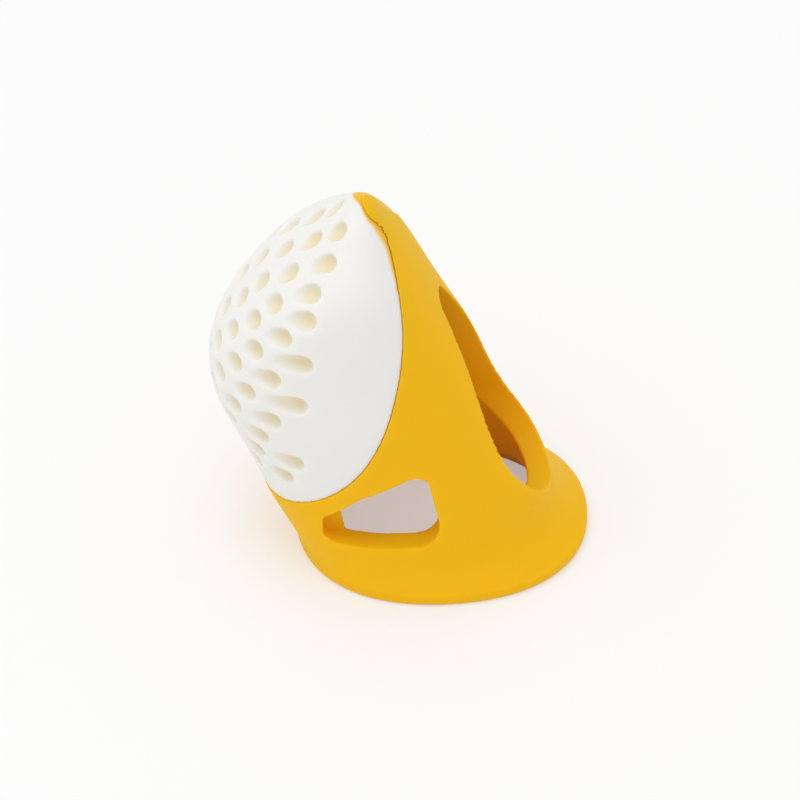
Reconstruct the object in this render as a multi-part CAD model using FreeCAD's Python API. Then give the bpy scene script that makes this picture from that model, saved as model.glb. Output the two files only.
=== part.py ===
import FreeCAD, Part
import math
import os

os.makedirs("parts", exist_ok=True)

vec = FreeCAD.Vector

# A sewing thimble of two moulded pieces: a hard dimpled cap over the pad and tip of the finger,
# and a soft sleeve round the finger that holds the cap by a stepped edge.
# Lengths are millimetres. Z is up and the foot stands on z = 0. The pad of the finger faces -X,
# the nail faces +X, and the thimble is the same on both sides of the plane y = 0.

# Overall size: the height, and the length and width of the foot
body_height = 32.3
body_length = 23.5
body_width = 20.75

# Wall of both pieces, and the upright band with its rounded edge at the foot
wall = 2.0
foot_band = 0.95
foot_edge = 0.3

# Ovals of the body above the foot band, from the lowest up. Each is its height as a share of the
# body's height, the reach to the pad and to the nail as shares of the body's length, and the half
# width as a share of half the body's width.
foot_oval = (-0.359, 0.630, 1.00)
ovals = [
    (0.058, -0.376, 0.580, 0.945),
    (0.112, -0.416, 0.520, 0.890),
    (0.200, -0.475, 0.490, 0.860),
    (0.325, -0.547, 0.409, 0.823),
    (0.475, -0.631, 0.310, 0.797),
    (0.588, -0.632, 0.230, 0.771),
    (0.713, -0.561, 0.131, 0.746),
    (0.838, -0.414, 0.038, 0.660),
    (0.938, -0.240, -0.050, 0.350),
]
crown_place = -0.132
oval_power = 2.22
widest_at_foot = 0.454
widest_at_crown = 0.533
column_count = 16

# Parting line between the pieces in the side view, from the crown down to the pad, as shares of
# the body's length and height
parting = [
    (-0.220, 1.060),
    (-0.148, 1.008),
    (-0.084, 0.965),
    (-0.040, 0.912),
    (-0.016, 0.855),
    (0.003, 0.758),
    (-0.015, 0.598),
    (-0.067, 0.462),
    (-0.171, 0.336),
    (-0.340, 0.240),
    (-0.560, 0.164),
]

# Stepped joint: half of the cap's wall runs on under the sleeve, whose rim stands a little proud
lap_length = 0.9
cap_recess = 0.12

# Dimples of the cap: straight holes along X with ball ends, in rows that lean a little. Rows and
# holes are spaced evenly along two arcs, so they close up where the cap curves away. The top row
# lies a little under the crown, and the arc across is a share of the body's width. Each row
# has the place of its first hole, in steps from the middle plane, and how many holes it has.
dimple_diameter = 1.6
dimple_depth = 0.9
top_row_drop = 1.702878182
hole_arc_share = 8.2 / 20.75
row_arc_radius = 20.0
row_step_radians = 0.1
hole_step_radians = 2.95 / 8.2
level_row = 8
dimple_rows = [
    (-0.57, 2),
    (-1.30, 3),
    (-1.98, 4),
    (-2.60, 6),
    (-2.50, 6),
    (-3.08, 7),
    (-2.70, 6),
    (-3.23, 7),
    (-2.83, 6),
    (-2.45, 5),
    (-3.07, 6),
    (-2.60, 5),
]

# Nail slot: a teardrop in the view from the nail side, cut along X. Its bottom is a half circle,
# its sides bulge a little and its tip is a small arc.
slot_width = 9.9
slot_bottom = 4.6
slot_tip = 23.4
tip_width = 3.1
tip_rise = 1.2
bulge_depth = 0.7

# Side windows: corners in the side view as shares of the body's length and height, each with its
# rounding in millimetres, and how far from the middle plane the cut stops
window = [
    (-0.262, 0.142, 1.0),
    (0.143, 0.154, 1.8),
    (0.078, 0.366, 1.2),
    (-0.137, 0.292, 3.0),
    (-0.260, 0.218, 0.8),
]
window_floor = 6.3


# A round spline runs inside its control points, so they stand out from the oval by this factor
swell = 3 / (2 + math.cos(2 * math.pi / column_count))


def oval_point(oval, height, turn):
    """Control point of one oval, which is a power curve round the finger."""
    pad, nail, half = oval
    share = widest_at_foot + (widest_at_crown - widest_at_foot) * height / body_height
    widest = pad + share * (nail - pad)
    reach = nail - widest if math.cos(turn) > 0 else widest - pad
    along = math.copysign(abs(math.cos(turn)) ** (2 / oval_power), math.cos(turn))
    across = math.copysign(abs(math.sin(turn)) ** (2 / oval_power), math.sin(turn))
    x = body_length * (widest + swell * reach * along)
    y = body_width / 2 * swell * half * across
    return vec(x, y, height)


def skin_net():
    """Columns of control points up the body, from the foot band to the crown."""
    net = []
    for number in range(column_count):
        turn = 2 * math.pi * number / column_count
        column = [oval_point(foot_oval, foot_band, turn)]
        for share, pad, nail, half in ovals:
            column.append(oval_point((pad, nail, half), share * body_height, turn))
        column.append(vec(crown_place * body_length, 0, body_height))
        net.append(column)
    return net


def inset_net(depth):
    """The same columns moved into the body along the normals of the net, and run on below it."""
    net = skin_net()
    moved = []
    for number, column in enumerate(net):
        before = net[number - 1]
        after = net[(number + 1) % column_count]
        inner = []
        for level, point in enumerate(column[:-1]):
            rise = column[level + 1] - column[max(level - 1, 0)]
            normal = (after[level] - before[level]).cross(rise)
            if level == 0:
                normal.z = 0
            inner.append(point - normal.normalize() * depth * swell)
        inner[0].z = foot_band - 2 * depth
        inner.append(column[-1] - vec(0, 0, depth))
        moved.append(inner)
    return moved


def column_places(net):
    """Shared parameters of the levels: the mean distance from level to level over all columns."""
    places = [0.0]
    for level in range(1, len(net[0])):
        steps = [column[level].distanceToPoint(column[level - 1]) for column in net]
        places.append(places[-1] + sum(steps) / len(steps))
    return places


def skin_face(depth):
    """Smooth face of the body above the foot band, at a depth under the outer skin."""
    net = inset_net(depth)
    places = column_places(net)
    crown = places[-1]
    over = places + [2 * crown - place for place in reversed(places[:-1])]
    poles = []
    for number, column in enumerate(net):
        opposite = net[(number + column_count // 2) % column_count]
        curve = Part.BSplineCurve()
        curve.interpolate(Points=column + opposite[-2::-1], Parameters=over)
        curve.segment(0, crown)
        poles.append(curve.getPoles())
    round_knots = list(range(column_count + 1))
    once = [1] * len(round_knots)
    up_knots = curve.getKnots()
    up_counts = curve.getMultiplicities()
    surface = Part.BSplineSurface()
    surface.buildFromPolesMultsKnots(poles, once, up_counts, round_knots, up_knots, True, False, 3, 3)
    return surface.toShape()


def skin_solid(depth):
    """Solid inside the skin at a depth, closed by a flat lid at its lower edge."""
    skin = skin_face(depth)
    rim = min(skin.Edges, key=lambda edge: edge.BoundBox.ZMax + edge.BoundBox.ZLength)
    lid = Part.Face(Part.Wire([rim]))
    shell = Part.Shell([skin, lid])
    shell.sewShape()
    return Part.Solid(shell), lid


def outer_body():
    """Body under the outer skin, with the upright band and the rounded edge that it stands on."""
    upper, lid = skin_solid(0)
    band = lid.extrude(vec(0, 0, -foot_band))
    edges = [edge for edge in band.Edges if edge.BoundBox.ZMax < foot_edge]
    rounded = band.makeFillet(foot_edge, edges)
    return upper.fuse(rounded).removeSplitter()


def side_point(along, up):
    """Point of the side view, from shares of the body's length and height."""
    return vec(along * body_length, 0, up * body_height)


def parting_curve(shift):
    """Parting line in the middle plane, moved towards the nail side by a shift."""
    line = Part.BSplineCurve()
    line.interpolate([side_point(along, up) for along, up in parting])
    moved = []
    for along, up in parting:
        place = line.parameter(side_point(along, up))
        rise = line.tangent(place)[0]
        normal = vec(0, -1, 0).cross(rise)
        moved.append(line.value(place) + normal * shift)
    shifted = Part.BSplineCurve()
    shifted.interpolate(moved)
    return shifted.toShape()


def pad_side(shift):
    """Everything on the pad side of the parting line, moved towards the nail side by a shift."""
    edge = parting_curve(shift)
    crown, pad = edge.Vertexes[0].Point, edge.Vertexes[-1].Point
    far = vec(-body_length, 0, 0)
    corners = [pad, vec(far.x, 0, pad.z), vec(far.x, 0, crown.z), crown]
    outline = Part.Wire([edge] + Part.makePolygon(corners).Edges)
    face = Part.Face(outline)
    face.translate(vec(0, -body_width, 0))
    return face.extrude(vec(0, 2 * body_width, 0))


def mirrored(shape):
    """The same shape on the other side of the middle plane."""
    return shape.mirror(vec(0, 0, 0), vec(0, 1, 0))


def rounded_outline(corners):
    """Closed outline through corners that carry their own rounding, in the middle plane."""
    points = [side_point(along, up) for along, up, rounding in corners]
    edges = []
    last = None
    for number, (along, up, rounding) in enumerate(corners):
        point = points[number]
        back = (points[number - 1] - point).normalize()
        on = (points[(number + 1) % len(points)] - point).normalize()
        half_turn = back.getAngle(on) / 2
        reach = rounding / math.tan(half_turn)
        middle = point + (back + on).normalize() * (rounding / math.sin(half_turn) - rounding)
        arc = Part.Arc(point + back * reach, middle, point + on * reach)
        if last is None:
            first = point + back * reach
        else:
            edges.append(Part.makeLine(last, point + back * reach))
        edges.append(arc.toShape())
        last = point + on * reach
    edges.append(Part.makeLine(last, first))
    return Part.Wire(edges)


def window_cut():
    """The cut of one side window, from its flat floor outwards."""
    face = Part.Face(rounded_outline(window))
    face.translate(vec(0, -window_floor, 0))
    return face.extrude(vec(0, -body_width, 0))


def slot_cut():
    """The cut of the nail slot, from inside the finger's hollow outwards."""
    widest = vec(0, slot_width / 2, slot_bottom + slot_width / 2)
    narrow = vec(0, tip_width / 2, slot_tip - tip_rise)
    along = (narrow - widest).normalize()
    outwards = vec(0, along.z, -along.y)
    bulge = (widest + narrow) / 2 + outwards * bulge_depth
    side = Part.Arc(widest, bulge, narrow).toShape()
    bottom = Part.Arc(vec(0, -widest.y, widest.z), vec(0, 0, slot_bottom), widest).toShape()
    tip = Part.Arc(narrow, vec(0, 0, slot_tip), vec(0, -narrow.y, narrow.z)).toShape()
    face = Part.Face(Part.Wire([bottom, side, tip, mirrored(side)]))
    return face.extrude(vec(body_length, 0, 0))


def dimple(end, start_x):
    """One straight hole with a ball end, turned about its own axis along X."""
    radius = dimple_diameter / 2
    side = vec(0, 0, radius)
    start = vec(start_x, end.y, end.z)
    tip = end + vec(radius, 0, 0)
    bend = end + (side + vec(radius, 0, 0)).normalize() * radius
    ball = Part.Arc(end + side, bend, tip).toShape()
    walls = Part.makePolygon([tip, start, start + side, end + side]).Edges
    return Part.Face(Part.Wire([ball] + walls)).revolve(start, vec(1, 0, 0), 360)


def row_rise(row):
    """Height of a row over the level row, where the arc of rows is upright."""
    return row_arc_radius * math.sin((level_row - row) * row_step_radians)


def dimple_row(row, first, count, inner):
    """Holes of one row. The balls' centres lie on one inner skin, so the dimples are equally deep."""
    z = body_height - top_row_drop - row_rise(0) + row_rise(row)
    arc_across = hole_arc_share * body_width
    holes = []
    for number in range(count):
        y = arc_across * math.sin((first + number) * hole_step_radians)
        ray = Part.makeLine(vec(-body_length, y, z), vec(0, y, z))
        end = min((vertex.Point for vertex in ray.common(inner).Vertexes), key=lambda point: point.x)
        holes.append(dimple(end, -body_length))
    return holes


def dimpled_cap():
    """Hard cap: a full wall up to the parting line, and its inner half on under the sleeve."""
    full = skin_solid(cap_recess)[0].common(pad_side(0))
    tongue = skin_solid(wall / 2)[0].common(pad_side(lap_length))
    cavity = skin_solid(wall)[0]
    cap = full.fuse(tongue).cut(cavity)
    centres = skin_solid(cap_recess + dimple_depth - dimple_diameter / 2)[0]
    for row, (first, count) in enumerate(dimple_rows):
        cap = cap.cut(dimple_row(row, first, count, centres))
    return cap


def grip_sleeve():
    """Soft sleeve: the rest of the body's shell, with its windows and its nail slot."""
    seat = skin_solid(wall / 2)[0].common(pad_side(lap_length))
    cavity = skin_solid(wall)[0]
    shell = outer_body().cut(pad_side(0)).cut(seat).cut(cavity)
    cut = window_cut()
    return shell.cut([cut, mirrored(cut), slot_cut()])


cap = dimpled_cap()
sleeve = grip_sleeve()
middle = Part.makeCompound([cap, sleeve]).optimalBoundingBox().Center.x
for name, piece in [("dimpled_cap", cap), ("grip_sleeve", sleeve)]:
    piece.translate(vec(-middle, 0, 0))
    print(name, "valid" if piece.isValid() else "not valid", round(piece.Volume, 1))
    piece.exportStep("parts/" + name + ".step")
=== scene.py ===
import bmesh
import bpy
import math
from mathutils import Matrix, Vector
from mathutils.bvhtree import BVHTree


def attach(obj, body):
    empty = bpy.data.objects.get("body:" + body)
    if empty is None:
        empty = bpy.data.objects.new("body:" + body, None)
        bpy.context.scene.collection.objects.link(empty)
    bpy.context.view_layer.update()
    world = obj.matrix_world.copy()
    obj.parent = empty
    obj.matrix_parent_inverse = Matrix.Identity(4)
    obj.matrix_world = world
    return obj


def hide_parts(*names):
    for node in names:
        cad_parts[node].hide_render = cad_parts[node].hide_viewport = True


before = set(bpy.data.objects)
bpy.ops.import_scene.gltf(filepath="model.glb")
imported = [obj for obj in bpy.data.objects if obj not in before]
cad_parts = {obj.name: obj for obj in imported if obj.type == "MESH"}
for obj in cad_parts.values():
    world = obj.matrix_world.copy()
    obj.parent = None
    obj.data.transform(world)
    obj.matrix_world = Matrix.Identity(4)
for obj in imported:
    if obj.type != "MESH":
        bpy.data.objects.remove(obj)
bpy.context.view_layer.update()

# Lengths are metres. The part stands on z = 0, its pad side faces -X and its nail side +X.
MM = 0.001

# Camera: the photo looks along +Y and down, and the part's origin lies at this pixel
camera_height_angle = 40.8
pixel_size = 0.080 * MM
origin_pixel = (401, 517)
photo_size = 800
lens = 200
sensor = 36

# Softened edges of the moulded pieces
cap_voxel = 0.12 * MM
sleeve_voxel = 0.10 * MM
cap_smoothing = 9
sleeve_smoothing = 14
smoothing_factor = 0.5
triangle_limit = 190000

# Yellow tint of the cap beside the narrow top of the sleeve's rim. It runs from the parting line,
# given by places at heights, and reaches further over the cap on the far side, most at the crown.
parting_heights = [24.0 * MM, 27.6 * MM, 29.5 * MM, 31.1 * MM, 32.6 * MM]
parting_places = [0.1 * MM, -0.4 * MM, -1.1 * MM, -2.1 * MM, -3.5 * MM]
crown_reach = 1.6 * MM
crown_start = 27.0 * MM
crown_top = 32.3 * MM
crown_blend = 0.1 * MM
far_side_start = -0.5 * MM
far_side_full = 2.0 * MM

# Line that the finger's hollow runs round: its place at the foot, and above the bend. A skin that
# faces the line by the full share or more is painted orange, as painted shade and light through the
# wall.
hollow_foot = 3.0 * MM
hollow_top = -4.0 * MM
hollow_bend = 16.0 * MM
inside_full = 0.7

# Colours are linear. A dimple's cream is painted shade, darker and yellower with depth; it starts
# and is full at depths under the cap's convex hull, and deeper than the limit is the cap's inside.
cap_white = (0.84, 0.83, 0.80, 1)
dimple_shade_cream = (0.86, 0.77, 0.52, 1)
sleeve_yellow = (0.88, 0.49, 0.004, 1)
# The orange is painted shade with painted light through the wall, for the skin that faces the
# finger.
sleeve_shade_orange = (1.0, 0.41, 0.001, 1)
dimple_shade_start = 0.12 * MM
dimple_shade_full = 0.85 * MM
dimple_shade_limit = 1.3 * MM

# Light. The floor is one white for light, and for the camera a greyer one with white added.
sky_strength = 0.85
key_power = 0.55
key_place = Vector((-0.13, -0.08, 0.45))
key_target = Vector((0, 0, 0.015))
key_size = 0.35
floor_size = 4
floor_white = 0.93
floor_seen = 0.60
floor_lift = 0.35


def new_object(name, mesh):
    """Object with this mesh, in the scene."""
    obj = bpy.data.objects.new(name, mesh)
    bpy.context.scene.collection.objects.link(obj)
    return obj


def evaluated_mesh(obj):
    """Mesh of an object with its modifiers applied."""
    graph = bpy.context.evaluated_depsgraph_get()
    return bpy.data.meshes.new_from_object(obj.evaluated_get(graph))


def softened(node, name, voxel, smoothing):
    """Fine copy of a CAD node with its edges rounded as moulded plastic is."""
    piece = new_object(name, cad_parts[node].data.copy())
    remesh = piece.modifiers.new("remesh", "REMESH")
    remesh.mode = "VOXEL"
    remesh.voxel_size = voxel
    smooth = piece.modifiers.new("smooth", "SMOOTH")
    smooth.factor = smoothing_factor
    smooth.iterations = smoothing
    thin = piece.modifiers.new("thin", "DECIMATE")
    faces = len(evaluated_mesh(piece).loop_triangles)
    thin.ratio = min(1, triangle_limit / max(faces, 1))
    mesh = evaluated_mesh(piece)
    piece.modifiers.clear()
    piece.data = mesh
    mesh.shade_smooth()
    mesh.materials.clear()
    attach(piece, "root")
    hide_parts(node)
    return piece


def step_up(value, low, high):
    """Share of the way from low to high, kept from 0 to 1."""
    return min(max((value - low) / (high - low), 0), 1)


def parting_at(height):
    """Place of the parting line on the crown at a height."""
    places = list(zip(parting_heights, parting_places))
    for (low, start), (high, end) in zip(places, places[1:]):
        if height < high:
            return start + (end - start) * step_up(height, low, high)
    return places[-1][1]


def mark_crown(piece):
    """Stores where the cap's crown is tinted yellow, beside the narrow top of the sleeve's rim."""
    mesh = piece.data
    tint = mesh.attributes.new("crown", "FLOAT", "POINT")
    for vertex in mesh.vertices:
        x, y, z = vertex.co
        far_side = step_up(y, far_side_start, far_side_full)
        edge = parting_at(z) - crown_reach * far_side * step_up(z, crown_start, crown_top)
        if z > crown_start:
            tint.data[vertex.index].value = step_up(x, edge - crown_blend, edge + crown_blend)


def mark_inside(piece):
    """Stores which skin of the sleeve faces the finger, from 0 on the outer skin to 1 on the inner,
    as the share of painted orange shade and through-wall light.
    """
    mesh = piece.data
    inside_shade = mesh.attributes.new("inside_shade", "FLOAT", "POINT")
    for vertex in mesh.vertices:
        x, y, z = vertex.co
        middle = hollow_foot + (hollow_top - hollow_foot) * step_up(z, 0, hollow_bend)
        inwards = Vector((middle - x, -y, 0)).normalized()
        inside_shade.data[vertex.index].value = step_up(vertex.normal.dot(inwards), 0, inside_full)


def hull_tree(mesh):
    """Search tree of the convex hull of a mesh."""
    hull = bmesh.new()
    for vertex in mesh.vertices:
        hull.verts.new(vertex.co)
    result = bmesh.ops.convex_hull(hull, input=hull.verts)
    spare = [item for item in result["geom_interior"] if isinstance(item, bmesh.types.BMVert)]
    bmesh.ops.delete(hull, geom=spare, context="VERTS")
    tree = BVHTree.FromBMesh(hull)
    hull.free()
    return tree


def mark_dimple_shade(piece):
    """Stores how deep each point lies in a dimple, from 0 at its mouth to 1 at its end, as the
    share of painted shade.
    """
    mesh = piece.data
    tree = hull_tree(mesh)
    tint = mesh.attributes.new("dimple", "FLOAT", "POINT")
    for vertex in mesh.vertices:
        depth = tree.find_nearest(vertex.co)[3]
        if depth > dimple_shade_limit:
            depth = 0
        tint.data[vertex.index].value = step_up(depth, dimple_shade_start, dimple_shade_full)


def moulded_material(name, colour, roughness, shine, glow, glow_radius):
    """Slightly translucent moulded plastic or rubber. The glow's radius is in millimetres."""
    material = bpy.data.materials.new(name)
    material.use_nodes = True
    shader = material.node_tree.nodes["Principled BSDF"]
    shader.inputs["Base Color"].default_value = colour
    shader.inputs["Roughness"].default_value = roughness
    shader.inputs["Specular IOR Level"].default_value = shine
    shader.inputs["Subsurface Weight"].default_value = glow
    shader.inputs["Subsurface Radius"].default_value = glow_radius
    shader.inputs["Subsurface Scale"].default_value = MM
    return material


def tinted(material, attribute, colour, under):
    """Mixes a colour over another colour, or over an earlier mix, by an attribute of the mesh."""
    nodes = material.node_tree.nodes
    links = material.node_tree.links
    share = nodes.new("ShaderNodeAttribute")
    share.attribute_name = attribute
    mix = nodes.new("ShaderNodeMix")
    mix.data_type = "RGBA"
    colours = [socket for socket in mix.inputs if socket.type == "RGBA"]
    colours[1].default_value = colour
    if isinstance(under, tuple):
        colours[0].default_value = under
    else:
        links.new(under, colours[0])
    links.new(share.outputs["Fac"], mix.inputs[0])
    result = [socket for socket in mix.outputs if socket.type == "RGBA"][0]
    links.new(result, nodes["Principled BSDF"].inputs["Base Color"])
    return result


def cap_material():
    """White plastic with painted shade that turns the dimples cream, darker and yellower with
    depth.
    """
    material = moulded_material("cap_plastic", cap_white, 0.5, 0.4, 0.4, (1.0, 0.9, 0.7))
    # Painted shade: the dimples turn cream with depth.
    cream = tinted(material, "dimple", dimple_shade_cream, cap_white)
    tinted(material, "crown", sleeve_yellow, cream)
    return material


def sleeve_material():
    """Soft golden yellow rubber, with the side that faces the finger painted orange as painted
    shade and light through the wall.
    """
    material = moulded_material("sleeve_rubber", sleeve_yellow, 0.55, 0.12, 0.4, (0.6, 0.4, 0.1))
    # Painted shade and painted light through the wall: orange on the skin that faces the finger.
    tinted(material, "inside_shade", sleeve_shade_orange, sleeve_yellow)
    return material


def floor():
    """Plain white floor, whose white is partly added for the camera alone."""
    bpy.ops.mesh.primitive_plane_add(size=floor_size)
    plane = bpy.context.object
    plane.name = "floor"
    material = bpy.data.materials.new("floor")
    material.use_nodes = True
    shader = material.node_tree.nodes["Principled BSDF"]
    shader.inputs["Roughness"].default_value = 1
    shader.inputs["Specular IOR Level"].default_value = 0
    shader.inputs["Emission Color"].default_value = (1, 1, 1, 1)
    seen = material.node_tree.nodes.new("ShaderNodeLightPath")
    grey = material.node_tree.nodes.new("ShaderNodeMapRange")
    grey.inputs["To Min"].default_value = floor_white
    grey.inputs["To Max"].default_value = floor_seen
    lift = material.node_tree.nodes.new("ShaderNodeMapRange")
    lift.inputs["To Max"].default_value = floor_lift
    links = material.node_tree.links
    links.new(seen.outputs["Is Camera Ray"], grey.inputs["Value"])
    links.new(seen.outputs["Is Camera Ray"], lift.inputs["Value"])
    links.new(grey.outputs["Result"], shader.inputs["Base Color"])
    links.new(lift.outputs["Result"], shader.inputs["Emission Strength"])
    plane.data.materials.append(material)


def sky():
    """White surroundings: full white to the camera, softer as light."""
    world = bpy.data.worlds.new("studio")
    world.use_nodes = True
    bpy.context.scene.world = world
    nodes = world.node_tree.nodes
    background = nodes["Background"]
    background.inputs["Color"].default_value = (1, 1, 1, 1)
    seen = nodes.new("ShaderNodeLightPath")
    level = nodes.new("ShaderNodeMapRange")
    level.inputs["To Min"].default_value = sky_strength
    level.inputs["To Max"].default_value = 1.0
    world.node_tree.links.new(seen.outputs["Is Camera Ray"], level.inputs["Value"])
    world.node_tree.links.new(level.outputs["Result"], background.inputs["Strength"])


def area_light(name, place, target, size, power):
    """Soft square light at a place, facing a target."""
    light = bpy.data.lights.new(name, "AREA")
    light.size = size
    light.energy = power
    obj = bpy.data.objects.new(name, light)
    obj.location = place
    obj.rotation_euler = (target - place).to_track_quat("-Z", "Y").to_euler()
    bpy.context.scene.collection.objects.link(obj)


def camera():
    """Long lens at the photo's angle, framed so that the part's origin falls on its pixel."""
    rise = math.radians(camera_height_angle)
    back = Vector((0, -math.cos(rise), math.sin(rise)))
    up = Vector((0, math.sin(rise), math.cos(rise)))
    right = Vector((1, 0, 0))
    across = (photo_size / 2 - origin_pixel[0]) * pixel_size
    above = (origin_pixel[1] - photo_size / 2) * pixel_size
    target = right * across + up * above
    distance = photo_size * pixel_size * lens / sensor
    data = bpy.data.cameras.new("camera")
    data.lens = lens
    data.sensor_width = sensor
    data.clip_start = 0.01
    data.clip_end = 10
    obj = bpy.data.objects.new("camera", data)
    obj.location = target + back * distance
    obj.rotation_euler = back.to_track_quat("Z", "Y").to_euler()
    bpy.context.scene.collection.objects.link(obj)
    bpy.context.scene.camera = obj


bpy.context.scene.view_settings.view_transform = "Standard"

cap = softened("dimpled_cap", "cap", cap_voxel, cap_smoothing)
mark_dimple_shade(cap)
mark_crown(cap)
cap.data.materials.append(cap_material())

sleeve = softened("grip_sleeve", "sleeve", sleeve_voxel, sleeve_smoothing)
mark_inside(sleeve)
sleeve.data.materials.append(sleeve_material())

floor()
sky()
area_light("key", key_place, key_target, key_size, key_power)
camera()
